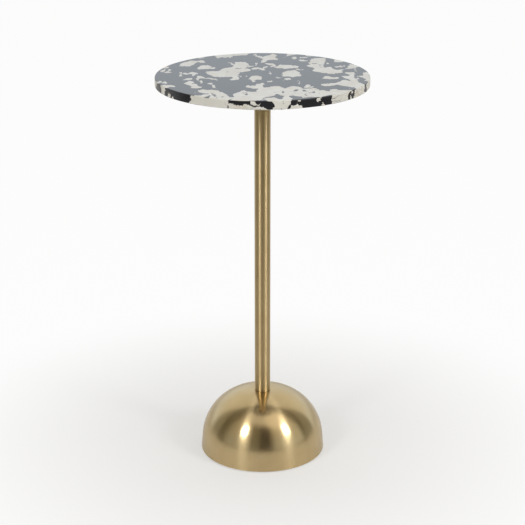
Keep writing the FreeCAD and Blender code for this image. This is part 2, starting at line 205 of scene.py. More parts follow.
def cells(place, size, feature="F1", output="Distance"):
    """Voronoi cells one size across. Distances come out as parts of that size."""
    inputs = {"Vector": place, "Scale": 1 / size}
    return place.node("ShaderNodeTexVoronoi", {"feature": feature}, inputs, output)


def cell_number(place, size):
    """A random number from 0 to 1 for each Voronoi cell, which is one size across."""
    colour = cells(place, size, output="Color")
    return colour.node("ShaderNodeSeparateColor", None, {0: colour}, "Red")


def length(x, y):
    """The length of a flat vector from its two parts."""
    return x.math("SQRT", x * x + y * y)


def relief(height, depth):
    """A normal that follows a height from 0 to 1, which stands for a real depth in metres."""
    return height.node("ShaderNodeBump", None, {"Height": height, "Distance": depth, "Strength": 1})


# %% [markdown]
# Every finish starts with an empty shader and a wire that carries each point's place, and ends with a
# surface. The surface's sockets keep Blender's own names, so they can be looked up in its manual.

# %% Start and end a finish
def rays(start, *kinds):
    """Wires that are 1 for a ray of each kind: Camera, Glossy for a mirror's, or Transmission for glass."""
    return [start.node("ShaderNodeLightPath", output=f"Is {kind} Ray") for kind in kinds]


def empty_shader(owner):
    """Gives a material, a lamp or the world an empty shader, and returns a wire to start from."""
    owner.use_nodes = True
    owner.node_tree.nodes.clear()
    return Wire(owner.node_tree)


def new_finish(name):
    """A material with an empty shader, and a wire that carries each point's place on the object."""
    material = bpy.data.materials.new(name)
    return material, empty_shader(material).node("ShaderNodeTexCoord", output="Object")


def principled(place, **inputs):
    """The Principled surface. Names are its sockets' names with _ for a space."""
    named = {name.replace("_", " "): value for name, value in inputs.items()}
    return place.node("ShaderNodeBsdfPrincipled", None, named)


def show(surface):
    """Ends a material's shader with a surface."""
    surface.node("ShaderNodeOutputMaterial", None, {"Surface": surface})


print("wires and moves are ready")

# %% [markdown]
# ## The studio
# Metal has no look of its own: it shows the room. The dome works as a mirror ball, so its arcs and dark
# fields are made by giving it a plain studio to look at: a pale sweep behind the table, a curtain, brighter
# and dimmer walls and a dark doorway behind the camera. The world carries these as a ramp of light all
# round, by azimuth from the camera's side. The dark lid over the sweep, the lit ceiling and a bright patch
# of it have sloping edges, so each is blended in by a mask of its own. Real walls would do the same, but
# they would stand in the way of a camera that goes round. The camera itself sees a nearly white backdrop.

# %% Levels of light in the room
SWEEP = (0.87, 0.87, 0.87)
SWEEP_FOOT = (0.53, 0.53, 0.53)
CURTAIN = (0.165, 0.145, 0.105)
WALL = (0.49, 0.46, 0.40)
BRIGHT_WALL = (0.69, 0.665, 0.60)
DIM_WALL = (0.30, 0.28, 0.23)
SHADE = (0.17, 0.155, 0.11)
DOORWAY = (0.03, 0.02, 0.01)
LID = (0.145, 0.132, 0.09)
CEILING = (0.86, 0.82, 0.76)
GLOW = (1.2, 1.12, 1.0)
BACKDROP = (0.97, 0.97, 0.97)
TINT_LOW = (0.98, 1.07, 1.17)
TINT_HIGH = (1.02, 1.0, 0.94)
# The bright patch's azimuth and elevation, and the slopes of the lid's and the ceiling's edges.
GLOW_PLACE = (48, 62)
LID_SLOPE = 3
CEILING_SLOPE = 0.25
# Where each mask begins and ends. A direction is one unit long, so its parts go from -1 to 1.
TINT_RISES = (0.1, 0.7)
FOOT_BEHIND = (0.3, 0.8)
FOOT_FADES = (0.19, 0)
LID_EDGE = (0, 0.1)
LID_BEHIND = (-0.15, 0.1)
CEILING_EDGE = (0.935, 0.99)
GLOW_EDGE = (0.91, 0.985)
# Each level of light, by azimuth in degrees from the camera's side, plus to the right.
ROOM = [
    (-180, SWEEP), (-125, SWEEP), (-112, DIM_WALL), (-100, DIM_WALL), (-95, CURTAIN), (-85, CURTAIN),
    (-79, DIM_WALL), (-69, WALL), (-29, WALL), (-22, SHADE), (-8, SHADE), (-3, DOORWAY), (14, DOORWAY),
    (27, WALL), (50, BRIGHT_WALL), (82, BRIGHT_WALL), (92, DIM_WALL), (115, DIM_WALL), (122, SWEEP),
]
print("the room has", len(ROOM), "levels of light around the table")


# %% Light the room
def way(azimuth, elevation):
    """A direction by its azimuth, from the camera's side and plus to the right, and its elevation."""
    azimuth, elevation = math.radians(azimuth), math.radians(elevation)
    level = math.cos(elevation)
    return Vector((math.sin(azimuth) * level, -math.cos(azimuth) * level, math.sin(elevation)))


def wall_light(start, x, y, z):
    """The walls' light by azimuth, cooler below and warmer above, with the sweep's dimmer foot."""
    turn = start.math("ARCTAN2", x, -1 * y) * (0.5 / math.pi) + 0.5
    stops = [(0.5 + azimuth / 360, colour) for azimuth, colour in ROOM]
    walls = start.node("ShaderNodeValToRGB", {"stops": stops}, {0: turn})
    tint = blend(rise(z, *TINT_RISES), TINT_LOW, TINT_HIGH)
    tinted = start.node("ShaderNodeMix", {"data_type": "RGBA", "blend_type": "MULTIPLY"},
                        {MIX_FACTOR: 1, MIX_FIRST: walls, MIX_SECOND: tint}, MIX_RESULT)
    foot = rise(y, *FOOT_BEHIND) * rise(z, *FOOT_FADES)
    return blend(foot, tinted, SWEEP_FOOT)


def light_room():
    """The world's light by direction: walls, a lid over the sweep, the ceiling and its bright patch."""
    world = bpy.data.worlds.new("studio")
    scene.world = world
    start = empty_shader(world)
    direction = start.node("ShaderNodeTexCoord", output="Generated")
    x, y, z = parts(direction)
    lid = rise(z - LID_SLOPE * y, *LID_EDGE) * rise(y, *LID_BEHIND)
    ceiling = rise(z - CEILING_SLOPE * y, *CEILING_EDGE)
    towards = start.node("ShaderNodeVectorMath", {"operation": "DOT_PRODUCT"},
                         {0: direction, 1: way(*GLOW_PLACE)}, "Value")
    glow = rise(towards, *GLOW_EDGE)
    light = blend(lid, wall_light(start, x, y, z), LID)
    light = blend(ceiling, light, CEILING)
    light = blend(glow, light, GLOW)
    camera_ray, glass_ray = rays(start, "Camera", "Transmission")
    light = blend(start.math("MAXIMUM", camera_ray, glass_ray), light, BACKDROP)
    background = start.node("ShaderNodeBackground", None, {"Color": light})
    start.node("ShaderNodeOutputWorld", None, {"Surface": background})


light_room()
print("the camera sees a backdrop of", BACKDROP[0])

# %% [markdown]
# Two softboxes make the two bright spots on the dome and the two lines on the post. Each is an area lamp
# turned towards the table, and its place is given as the dome sees it, by azimuth and elevation. A real
# softbox is hottest in the middle of its cloth, so these fade towards their edges too. Each is set up
# twice, once as what the metal mirrors and, a little behind that, as light for matt surfaces, because the
# slab will be kept from mirroring it. At the same distance, rays would find only one of the two.

# %% Set up the softboxes
SOFTBOX_DISTANCE = 2.05
MATT_DISTANCE = 2.10
SOFTBOX_SIZE = (0.50, 0.80)
SOFTBOX_LEVEL = 22.5
SOFTBOXES = {"left": (-41.5, 38), "right": (55, 36.5)}


def heat_middle(lamp):
    """Makes a lamp brightest in its middle: 16 u (1 - u) v (1 - v) for u and v from 0 to 1 across it."""
    start = empty_shader(lamp)
    across = start.node("ShaderNodeNewGeometry", output="Parametric")
    u, v = parts(across, "XY")
    glare = start.node("ShaderNodeEmission", None, {"Strength": 16 * u * (1 - u) * v * (1 - v)})
    start.node("ShaderNodeOutputLight", None, {"Surface": glare})


def add_softbox(name, azimuth, elevation, distance):
    """A lamp that faces the dome. Its power is level x pi x area, so its middle shows at that level."""
    width, height = SOFTBOX_SIZE
    lamp = bpy.data.lights.new(name, "AREA")
    lamp.shape = "RECTANGLE"
    lamp.size = width
    lamp.size_y = height
    lamp.energy = SOFTBOX_LEVEL * math.pi * width * height
    heat_middle(lamp)
    softbox = put(name, lamp)
    outward = way(azimuth, elevation)
    softbox.location = distance * outward
    softbox.rotation_euler = outward.to_track_quat("Z", "Y").to_euler()
    return softbox


mirrored_softboxes = []
for side, place in SOFTBOXES.items():
    matt = add_softbox("matt_softbox_" + side, *place, MATT_DISTANCE)
    matt.visible_glossy = False
    mirrored = add_softbox("mirrored_softbox_" + side, *place, SOFTBOX_DISTANCE)
    mirrored.visible_diffuse = False
    mirrored_softboxes.append(mirrored)
print("softboxes stand", ", ".join(SOFTBOXES))

# %% [markdown]
# The floor is a wide pale sheet of paper. To the camera it is partly plain white, which clears the
# background without more light on the table. The white share is smaller near the table, so the floor there
# is painted
# greyer: a painted shadow pool round the foot, through which the real shadow of the matt rest also shows.
# The brass sees the paper close by and behind, and a dimmer floor where the paper has ended, in front. From
# below the floor is clear, so that the underside can be looked at.

# %% Lay the floor
FLOOR_REACH = 15
FLOOR_DROP = 0.5 * MM
FLOOR_DIM = (0.26, 0.24, 0.20)
PAPER = (0.7, 0.7, 0.7)
PAPER_MIRRORED = 0.2
PAINTED_POOL_WHITE = 0.45
PAPER_FAR = 0.95
# Where the painted shadow pool fades out and where the paper ends, in metres from the table's axis,
# and in metres behind it.
PAINTED_POOL_EDGE = (0.08, 0.6)
PAPER_ENDS = (0.2, 1.1)
PAPER_FRONT = (0.9, -0.3)


def floor_finish():
    """Matt paper, mixed with plain white for what is seen directly or in a mirror, and clear from below."""
    material, place = new_finish("floor_paper")
    camera_ray, mirror_ray, glass_ray = rays(place, "Camera", "Glossy", "Transmission")
    x, y = parts(place, "XY")
    distance = length(x, y)
    # Painted shadow: the camera's white share is smaller near the table, so the floor round the foot shows
    # greyer.
    painted_pool_fade = rise(distance, *PAINTED_POOL_EDGE)
    ended = rise(distance, *PAPER_ENDS) * rise(y, *PAPER_FRONT)
    direct = place.math("MAXIMUM", camera_ray, glass_ray) * (PAINTED_POOL_WHITE + (PAPER_FAR - PAINTED_POOL_WHITE) * painted_pool_fade)
    share = direct + PAPER_MIRRORED * mirror_ray * (1 - ended)
    matt = place.node("ShaderNodeBsdfDiffuse", None, {"Color": blend(mirror_ray * ended, PAPER, FLOOR_DIM)})
    white = place.node("ShaderNodeEmission", None, {"Color": (1, 1, 1, 1)})
    above = place.node("ShaderNodeMixShader", None, {0: share, 1: matt, 2: white})
    below = place.node("ShaderNodeNewGeometry", output="Backfacing")
    clear = place.node("ShaderNodeBsdfTransparent")
    show(place.node("ShaderNodeMixShader", None, {0: below, 1: above, 2: clear}))
    return material


def lay_floor():
    """A flat square of four corners just under the table."""
    corners = FLOOR_REACH * np.array([(-1, -1, 0), (1, -1, 0), (1, 1, 0), (-1, 1, 0)])
    mesh = bpy.data.meshes.new("floor")
    mesh.from_pydata((corners - (0, 0, FLOOR_DROP)).tolist(), [], [(0, 1, 2, 3)])
    mesh.materials.append(floor_finish())
    floor = put("floor", mesh)


lay_floor()
print("the floor reaches", FLOOR_REACH, "m each way")

# %% [markdown]
# ## Turned shapes
# A lathe makes a piece from one outline. The same works in a mesh: an outline of radius and height is
# carried round the z axis in equal steps. The Screw modifier could do that too, but sums on whole arrays
# leave no doubt about which way the faces point. Real edges are never sharp, so each corner of the outline
# gets an arc. Two more points just outside each arc keep the long walls from being shaded as if bent.

# %% Round an outline's corners
HOLD_SHARE = 0.4


def eased(corners, rounds, steps):
    """A closed outline with its corners rounded.
    An arc of radius r touches both sides of a corner of angle a at r / tan(a / 2) from it, and its centre
    is r / sin(a / 2) away on the line that halves the angle. Its points come from turning the first radius
    into the last in equal steps of angle. One more point lies beyond each end of the arc, by a share of r
    or, where r is larger, of 1 mm."""
    corners = np.array(corners, float)
    rounds = np.array(rounds, float)[:, None]
    before = np.roll(corners, 1, axis=0) - corners
    after = np.roll(corners, -1, axis=0) - corners
    before /= np.linalg.norm(before, axis=1, keepdims=True)
    after /= np.linalg.norm(after, axis=1, keepdims=True)
    half = np.arccos((before * after).sum(axis=1, keepdims=True)) / 2
    touch = rounds / np.tan(half)
    middle = before + after
    centre = corners + middle / np.linalg.norm(middle, axis=1, keepdims=True) * rounds / np.sin(half)
    first = corners + before * touch - centre
    last = corners + after * touch - centre
    turn = math.pi - 2 * half
    share = np.linspace(0, 1, steps + 1)[:, None, None]
    arcs = centre + (np.sin((1 - share) * turn) * first + np.sin(share * turn) * last) / np.sin(turn)
    hold = HOLD_SHARE * np.minimum(rounds, MM)
    ends = corners + before * (touch + hold), corners + after * (touch + hold)
    return np.concatenate([ends[0][None], arcs, ends[1][None]]).swapaxes(0, 1).reshape(-1, 2)


# %% Carry an outline round
def band(near, far):
    """Quads between closed rings of point numbers: each takes one step along the near and the far ring."""
    quads = np.stack([near, np.roll(near, -1, axis=-1), np.roll(far, -1, axis=-1), far], axis=-1)
    return quads.reshape(-1, 4)


def turned(outline, turns):
    """An outline of radius r and height h carried round z by t: x = r cos t, y = r sin t, z = h."""
    angle = np.linspace(0, 2 * math.pi, turns, endpoint=False)
    radius, height = outline[:, :1], outline[:, 1:]
    x, y, z = np.broadcast_arrays(radius * np.cos(angle), radius * np.sin(angle), height)
    rings = np.arange(x.size).reshape(x.shape)
    return np.stack([x, y, z], axis=-1).reshape(-1, 3), band(rings, np.roll(rings, -1, axis=0))


# %% Put a surface into the scene
def add_piece(name, surface, material, node):
    """A smooth mesh piece that rides on the table's one body and stands for a node of the frame."""
    points, quads = surface
    mesh = bpy.data.meshes.new(name)
    mesh.from_pydata(points.tolist(), [], quads.tolist())
    mesh.polygons.foreach_set("use_smooth", np.ones(len(quads), bool))
    mesh.materials.append(material)
    piece = put(name, mesh)
    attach(piece, "root")
    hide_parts(node)
    print(name, "has", len(quads), "quads and stands for", node)
    return piece

# %% [markdown]
# ## Satin brass
# The post and the dome are polished and then brushed while they turn, which leaves fine rings all round.
# The polish still mirrors the room. The rings scatter light across themselves, so each highlight is also
# drawn out up and down the metal. One roughness can't give both, so the finish mixes two surfaces. Both
# stretch their highlights by anisotropy, turned by a quarter because Blender's own direction runs round the
# z axis. The rings themselves are noise that depends only on the distance from the axis and on the height.
# Handling leaves cloudy marks, the crease where the post meets the dome is darkened with painted contact
# shade, and the dome's foot is rubbed bright.

# %% Mix the satin brass
BRASS = (0.62, 0.48, 0.265)
BRASS_TARNISH = (0.58, 0.44, 0.235)
BRASS_RUBBED = (0.72, 0.56, 0.31)
# Painted contact shade: a darker brass for the thin ring where the post meets the dome.
BRASS_JOINT_SHADE = (0.20, 0.14, 0.07)
RING_SIZE = 0.35 * MM
RING_DEPTH = 0.001 * MM
RING_MARKS = 0.04
CLOUD_SIZE = 35 * MM
CLOUD_EDGE = (0.35, 0.75)
CLOUD_MARKS = 0.03
RUBBED_HEIGHT = 2 * MM
JOINT_SHADE_REACH = (0.7 * MM, 0.2 * MM)
JOINT_SHADE_SHARE = 0.5
QUARTER_TURN = 0.25
FOOT_HEIGHT = turned_size("dome_shell")[2]
JOINT_RADIUS = turned_size("post_tube")[1]
JOINT_HEIGHT = turned_size("post_tube")[2]


def satin_brass(name, polish, brush, share):
    """Brass polished and then brushed in rings, with cloudy marks, painted shade at the joint and a rubbed
    foot.
    Polish and brush are each a roughness and a pull, which is how far it draws out a highlight. The share
    is how much of the light the brushed rings scatter."""
    material, place = new_finish(name)
    x, y, z = parts(place)
    radius = length(x, y)
    across = place.node("ShaderNodeCombineXYZ", None, {"X": radius, "Y": z})
    rings = noise(across, RING_SIZE, detail=3, roughness=0.7)
    clouds = noise(place, CLOUD_SIZE, detail=3)
    foot = rise(z, FOOT_HEIGHT + RUBBED_HEIGHT, FOOT_HEIGHT)
    joint_shade = rise(length(radius - JOINT_RADIUS, z - JOINT_HEIGHT), *JOINT_SHADE_REACH)
    colour = blend(rise(clouds, *CLOUD_EDGE), BRASS, BRASS_TARNISH)
    colour = blend(foot, colour, BRASS_RUBBED)
    # Painted contact shade: darkens the brass in a thin ring at the crease where the post meets the dome.
    colour = blend(JOINT_SHADE_SHARE * joint_shade, colour, BRASS_JOINT_SHADE)
    marks = CLOUD_MARKS * (clouds - 0.5) + RING_MARKS * (rings - 0.5)
    normal = relief(rings, RING_DEPTH)
    polished, brushed = [
        principled(place, Base_Color=colour, Metallic=1.0, Roughness=roughness + marks, Anisotropic=pull,
                   Anisotropic_Rotation=QUARTER_TURN, Normal=normal)
        for roughness, pull in (polish, brush)]
    show(place.node("ShaderNodeMixShader", None, {0: share, 1: polished, 2: brushed}))
    return material


post_brass = satin_brass("post_brass", polish=(0.25, 0.6), brush=(0.41, 0.943), share=0.95)
dome_brass = satin_brass("dome_brass", polish=(0.175, 0.75), brush=(0.355, 0.965), share=0.32)
print("brushed rings are", RING_SIZE / MM, "mm apart")

# %% [markdown]
# ## The post
# A plain brass tube. It stands on the dome's flat crown and goes up to the plate under the slab. A cylinder
# would have sharp ends and no bore, so its outline is the tube's wall, with both ends eased as a lathe tool
# leaves them.

# %% Turn the post
POST_EASE = 0.4 * MM
POST_EASE_STEPS = 6
POST_TURNS = 160

bore, radius, low, high = turned_size("post_tube")
wall = [(bore, low), (radius, low), (radius, high), (bore, high)]
tube = turned(eased(wall, [POST_EASE] * len(wall), POST_EASE_STEPS), POST_TURNS)
add_piece("brass_post", tube, post_brass, "post_tube")

# %% [markdown]
# ## The dome
# A disc of sheet brass spun over a form. The skirt leans in a little, one round shoulder turns it over, and
# a small flat is left for the post. Half a sphere would miss all three. So the outline is a corner between
# the skirt and the crown's level, with a very large rounding that ends just where the flat begins. The
# inner side is the same line, one wall in.

# %% Spin the dome
SKIRT_LEAN = math.radians(4.4)
CROWN_FLAT = 14 * MM
DOME_WALL = 1.2 * MM
FOOT_ROUND = 0.4 * MM
HOLE_ROUND = 0.2 * MM
DOME_ARC_STEPS = 28
DOME_TURNS = 240


def dome_outline():
    """The sheet's section: foot, skirt, shoulder, crown and bolt hole, and back one wall further in."""
    bore, radius, low, high = turned_size("dome_shell")
    lean, tall = math.tan(SKIRT_LEAN), high - low
    shoulder = (radius - tall * lean - CROWN_FLAT) / math.tan((math.pi / 2 - SKIRT_LEAN) / 2)
    inset = DOME_WALL / math.cos(SKIRT_LEAN)
    corners = [(radius, low), (radius - tall * lean, high), (bore, high), (bore, high - DOME_WALL),
               (radius - (tall - DOME_WALL) * lean - inset, high - DOME_WALL), (radius - inset, low)]
    rounds = [FOOT_ROUND, shoulder, HOLE_ROUND, HOLE_ROUND, shoulder - DOME_WALL, FOOT_ROUND]
    return eased(corners, rounds, DOME_ARC_STEPS)


add_piece("brass_dome", turned(dome_outline(), DOME_TURNS), dome_brass, "dome_shell")

# %% [markdown]
# ## Terrazzo
# The slab is cast from a near-black ground with large torn flakes of cream stone in it, and then cut and
# ground, so each face shows the flakes in section. Cells or noise would give flakes of this kind, but not
# these, and one knows the slab by them, so their outlines are listed one by one. For every point of the
# mesh the distance to the nearest outline is worked out and kept with the point as an attribute. The finish
# then adds fine noise to that distance and turns it into a crisp edge, which is torn at any scale. That
# needs only a moderate mesh.

# %% Flakes on the top
# Cream flakes on the slab's top, in millimetres from its middle: x to the right, y to the back.
TOP_FLAKES = [
    # front, from left to right
    [(-94, -118), (-84, -119), (-76, -113), (-69, -111), (-71, -122), (-75, -127), (-81, -130),
     (-90, -124)],
    [(-86, -90), (-80, -83), (-74, -88), (-67, -86), (-60, -90), (-54, -102), (-47, -116), (-44, -128),
     (-37, -128), (-36, -152), (-58, -144), (-70, -138), (-68, -116), (-73, -108), (-80, -106),
     (-85, -100)],
    [(-39, -128), (-39, -112), (-33, -101), (-28, -96), (-26, -86), (-21, -97), (-8, -98), (-7, -79),
     (2, -73), (10, -71), (16, -65), (23, -67), (29, -76), (22, -104), (19, -110), (14, -121), (6, -129),
     (0, -135), (0, -145), (-14, -148), (-38, -152)],
    [(-22, -68), (-20, -62), (-10, -62), (-7, -53), (0, -45), (2, -52), (1, -62), (1, -75), (-7, -81),
     (-14, -79), (-20, -74)],
    [(26, -78), (31, -78), (36, -69), (42, -66), (49, -68), (53, -78), (60, -80), (68, -76), (74, -80),
     (76, -88), (76, -127), (60, -127), (53, -134), (51, -126), (42, -121), (30, -118), (24, -118),
     (18, -108)],
    [(74, -89), (84, -90), (89, -96), (90, -86), (95, -83), (104, -88), (119, -89), (124, -89),
     (106, -110), (94, -120), (88, -115), (83, -121), (74, -127)],
    [(1, -140), (6, -132), (14, -129), (19, -136), (24, -140), (28, -128), (28, -117), (34, -117),
     (37, -130), (39, -138), (37, -152), (8, -152), (6, -146)],
    # right
    [(80, -52), (88, -50), (98, -48), (106, -41), (110, -30), (114, -28), (120, -34), (130, -39),
     (134, -47), (140, -56), (138, -72), (129, -83), (125, -80), (123, -72), (110, -66), (103, -56),
     (98, -61), (84, -66), (80, -60)],
    [(115, 15), (120, 20), (128, 19), (129, 4), (128, -12), (130, -28), (130, -41), (122, -40),
     (119, -24), (112, -12), (111, -4), (119, -4), (122, 3)],
    [(130, -4), (140, -2), (141, 12), (146, 24), (153, 10), (153, -12), (147, -42), (141, -32),
     (142, -20), (138, -12), (134, -10)],
    [(82, -20), (85, -10), (87, -3), (91, -4), (95, -9), (98, -13), (102, -9), (105, -15), (104, -21),
     (95, -23), (86, -22)],
    [(67, 86), (70, 100), (72, 110), (79, 115), (85, 116), (91, 114), (91, 100), (90, 85), (86, 62),
     (89, 47), (93, 54), (99, 53), (102, 40), (105, 33), (111, 40), (116, 38), (112, 28), (112, 19),
     (106, 14), (97, 9), (92, 9), (88, 15), (80, 20), (71, 25), (70, 34), (73, 42), (71, 52), (64, 57),
     (63, 65), (68, 70)],
    [(103, 56), (108, 60), (112, 66), (114, 58), (118, 67), (120, 60), (116, 53), (110, 52), (105, 50)],
    [(115, 38), (121, 50), (122, 60), (126, 73), (136, 68), (142, 58), (131, 52), (128, 42), (121, 40)],
    [(104, 87), (105, 105), (114, 99), (120, 91), (112, 85)],
    # back
    [(42, 110), (44, 119), (49, 121), (51, 115), (49, 108), (45, 104)],
    [(52, 99), (55, 104), (60, 104), (62, 98), (68, 97), (62, 92), (55, 92)],
    [(53, 112), (56, 120), (61, 122), (67, 117), (61, 114)],
    [(36, 128), (36, 147), (53, 142), (44, 134)],
    [(63, 127), (64, 140), (86, 124), (72, 126)],
    [(-13, 133), (-11, 146), (-8, 140), (-9, 132), (-3, 127), (1, 121), (5, 128), (10, 135), (14, 142),
     (18, 142), (22, 134), (19, 120), (21, 110), (23, 102), (12, 101), (8, 98), (6, 90), (3, 84),
     (-2, 82), (-1, 95), (0, 108), (-5, 118), (-10, 124)],
    [(2, 79), (8, 80), (14, 78), (18, 70), (20, 62), (17, 58), (14, 64), (8, 69)],
    [(-70, 131), (-68, 118), (-64, 114), (-60, 118), (-54, 116), (-50, 120), (-48, 115), (-44, 127),
     (-35, 132), (-24, 132), (-20, 140), (-19, 153), (-42, 148), (-62, 140)],
    # middle
    [(22, 60), (25, 72), (29, 68), (40, 66), (46, 62), (51, 58), (51, 50), (47, 46), (44, 48), (42, 44),
     (36, 45), (32, 38), (29, 45), (21, 46), (18, 50), (14, 58), (20, 56)],
    [(46, 38), (50, 42), (53, 38), (59, 38), (57, 33), (50, 34)],
    [(28, 12), (29, 22), (34, 29), (41, 31), (46, 36), (48, 30), (51, 20), (53, 6), (55, -3), (48, -6),
     (42, -10), (36, -6), (28, -7)],
    [(16, -13), (20, -9), (24, -13), (28, -9), (29, -14), (22, -19)],
    [(-80, 18), (-78, 25), (-70, 28), (-62, 27), (-58, 38), (-54, 46), (-45, 50), (-42, 55), (-40, 72),
     (-39, 88), (-33, 86), (-26, 87), (-24, 80), (-20, 77), (-20, 62), (-23, 54), (-24, 46), (-17, 40),
     (-17, 31), (-22, 25), (-30, 20), (-34, 8), (-34, -4), (-31, -20), (-36, -28), (-44, -31),
     (-46, -25), (-41, -18), (-42, -10), (-55, -10), (-66, -9), (-70, -3), (-76, 8)],
    [(-19, -10), (-15, -4), (-9, -1), (-3, -4), (0, -10), (0, -20), (-3, -26), (-11, -28), (-9, -42),
     (-13, -41), (-16, -29), (-19, -20)],
    [(-17, 42), (-12, 50), (-7, 52), (0, 46), (2, 58), (8, 60), (7, 52), (2, 45), (-1, 36), (-6, 41),
     (-13, 38)],
    # left
    [(-119, 59), (-103, 58), (-99, 68), (-96, 79), (-93, 86), (-88, 80), (-80, 83), (-84, 88), (-86, 95),
     (-90, 101), (-94, 95), (-105, 96), (-107, 88), (-113, 85), (-117, 76)],
    [(-93, 42), (-89, 36), (-85, 41), (-73, 42), (-68, 40), (-67, 48), (-70, 54), (-74, 51), (-75, 60),
     (-78, 67), (-83, 66), (-88, 63), (-91, 52)],
    [(-103, 17), (-99, 21), (-92, 16), (-90, 10), (-94, 7), (-95, -6), (-99, -5), (-98, 7), (-102, 9)],
    [(-113, 14), (-108, 17), (-103, 10), (-105, 5), (-111, 6)],
    [(-92, -2), (-87, -3), (-83, -6), (-80, -17), (-84, -19), (-86, -14), (-88, -33), (-92, -28),
     (-90, -12)],
    [(-109, -26), (-103, -19), (-98, -17), (-97, -24), (-101, -30), (-108, -29)],
    [(-80, -19), (-75, -15), (-69, -17), (-64, -22), (-62, -28), (-67, -28), (-73, -23)],
    [(-107, -48), (-103, -42), (-99, -32), (-97, -36), (-93, -45), (-95, -50), (-90, -53), (-89, -62),
     (-84, -65), (-82, -71), (-84, -77), (-92, -79), (-97, -75), (-97, -64), (-102, -57)],
    [(-76, -50), (-72, -44), (-69, -48), (-67, -56), (-72, -55)],
    [(-140, -60), (-128, -58), (-121, -60), (-118, -67), (-118, -71), (-124, -70), (-129, -79),
     (-136, -71)],
    [(-144, 47), (-136, 57), (-132, 54), (-134, 46), (-139, 44)],
]
print(len(TOP_FLAKES), "flakes on the top have", sum(len(flake) for flake in TOP_FLAKES), "corners")

# %% Splinters and gaps on the top
# Splinters: middle x, middle y, half length, half width, turn from the x axis in degrees.
TOP_SPLINTERS = [
    (-44, 74, 8, 2.2, 115), (-18, 57, 4, 3, 30), (-9, 76, 6, 1.2, 90), (11, 15, 7, 1.1, 95),
    (35, -23, 6, 3.6, 80), (11, -36, 5.5, 4, 60), (50, -42, 7, 1.6, 90), (60.5, -66, 9, 3.2, 75),
    (94, 76, 5, 1.8, 90), (131, 42, 9, 1.1, 92), (132, -20, 8, 2.2, 100), (-114, 8, 12, 1.9, 92),
    (-84, -42, 9, 1.3, 95), (-66, -67, 10, 1.3, 100), (-134, -44, 7, 2.8, 90), (-143.5, -47, 9, 2.5, 70),
    (-132, 30, 6, 2.3, 85), (-133, 19, 4.5, 3, 40), (-140, 30, 8, 3, 80), (1, 38, 7, 2, 90),
    (16, 60, 6, 2.5, 60), (66, -72, 4, 1.5, 60), (-22, -6, 2.5, 1, 90), (-30, -7, 2.5, 1, 90),
    (-90, 116, 7, 3, 40),
]
# Dark gaps inside the cream, written as the splinters are.
TOP_GAPS = [
    (-64, -117, 8, 1.5, 105), (-21.5, -112, 8, 1.4, 93), (-23, -104, 3.5, 2.2, 40),
    (45, -88, 6, 2.6, 75), (55, -88, 8, 1.6, 95), (60, -98, 7, 0.9, 115), (68, -103, 4, 1.0, 80),
    (57, -113, 7, 0.8, 85), (77, 77, 5, 2.2, 5), (82, 63, 10, 1.4, 92), (-34, 45, 4.5, 2.6, 15),
    (-48, 24, 4, 1.2, 80), (-52, -126, 4, 1.6, 70), (-42, -141, 4, 1.2, 60), (10, -128.5, 8, 1.0, 12),
    (27, -102, 4, 1.0, 90),
]
print(len(TOP_SPLINTERS), "splinters and", len(TOP_GAPS), "gaps")

# %% Flakes on the rim
# Cream on the rim: degrees round from the front, plus to the right, and millimetres below the top.
RIM_FLAKES = [
    [(-88, 0), (-73, 0), (-76, 5), (-78, 9), (-88, 12)],
    [(-68, -1), (-61.5, -1), (-61, 4), (-62.5, 13), (-65.5, 13), (-67, 6)],
    [(-58, 7), (-56.8, 5), (-55.5, 9), (-56, 13), (-58, 13)],
    [(-54, 9.5), (-53, 7.5), (-52.3, 13), (-54.3, 13)],
    [(-40, -1), (-17.7, -1), (-17.4, 6), (-17.4, 13), (-41, 13), (-39, 8), (-39.8, 4)],
    [(-17.6, 5.2), (-16, 4.6), (-14.5, 5.4), (-13, 7.4), (-11.5, 5.2), (-10, 6.2), (-8, 5), (-7, 5.5),
     (-5.5, 8), (-4.5, 8.4), (-3, 8), (-1.5, 7.6), (0.5, 8.4), (2.5, 10.5), (3, 13), (-17.6, 13)],
    [(-6.4, -1), (-4, -1), (-3, 4), (-2.8, 6), (-4.4, 6.2), (-6, 3.5)],
    [(-2.6, 6.5), (-1.4, 2.2), (-0.7, 2.8), (-1.9, 7)],
    [(5.2, -1), (10, -1), (10.6, 4), (9.8, 8), (9.6, 13), (5.2, 13), (5.6, 6), (5.4, 4)],
    [(11.2, -1), (14.3, -1), (14.2, 4), (12.5, 10), (12, 13), (9.4, 13), (9.6, 8), (10.4, 4)],
    [(15, 7.4), (16.3, 6.8), (17.5, 5), (18.5, 7.2), (19.6, 9.5), (20, 13), (13, 13), (14.4, 8)],
    [(18.2, -1), (19.8, -1), (19.5, 2.4), (18.4, 1.8)],
    [(28.4, -1), (30.2, -1), (30.2, 4), (29.4, 6.2), (28, 6.2), (27.8, 3.5)],
    [(31.8, 8), (33.8, 13), (30.4, 13)],
    [(38.5, -1), (52, -1), (51, 2), (49.6, 5), (49.2, 7), (49.6, 13), (37.6, 13), (37.2, 6)],
    [(52.5, -1), (54, 2), (53.2, 4), (52.2, 6), (53, 8), (52.5, 13), (51, 13), (51.5, 6)],
    [(55.8, -1), (68, -1), (68.3, 4), (67, 8), (69, 13), (53.8, 13), (55.5, 6)],
    [(71, -1), (88, -1), (88, 13), (72, 13)],
]
print(len(RIM_FLAKES), "flakes on the front of the rim")

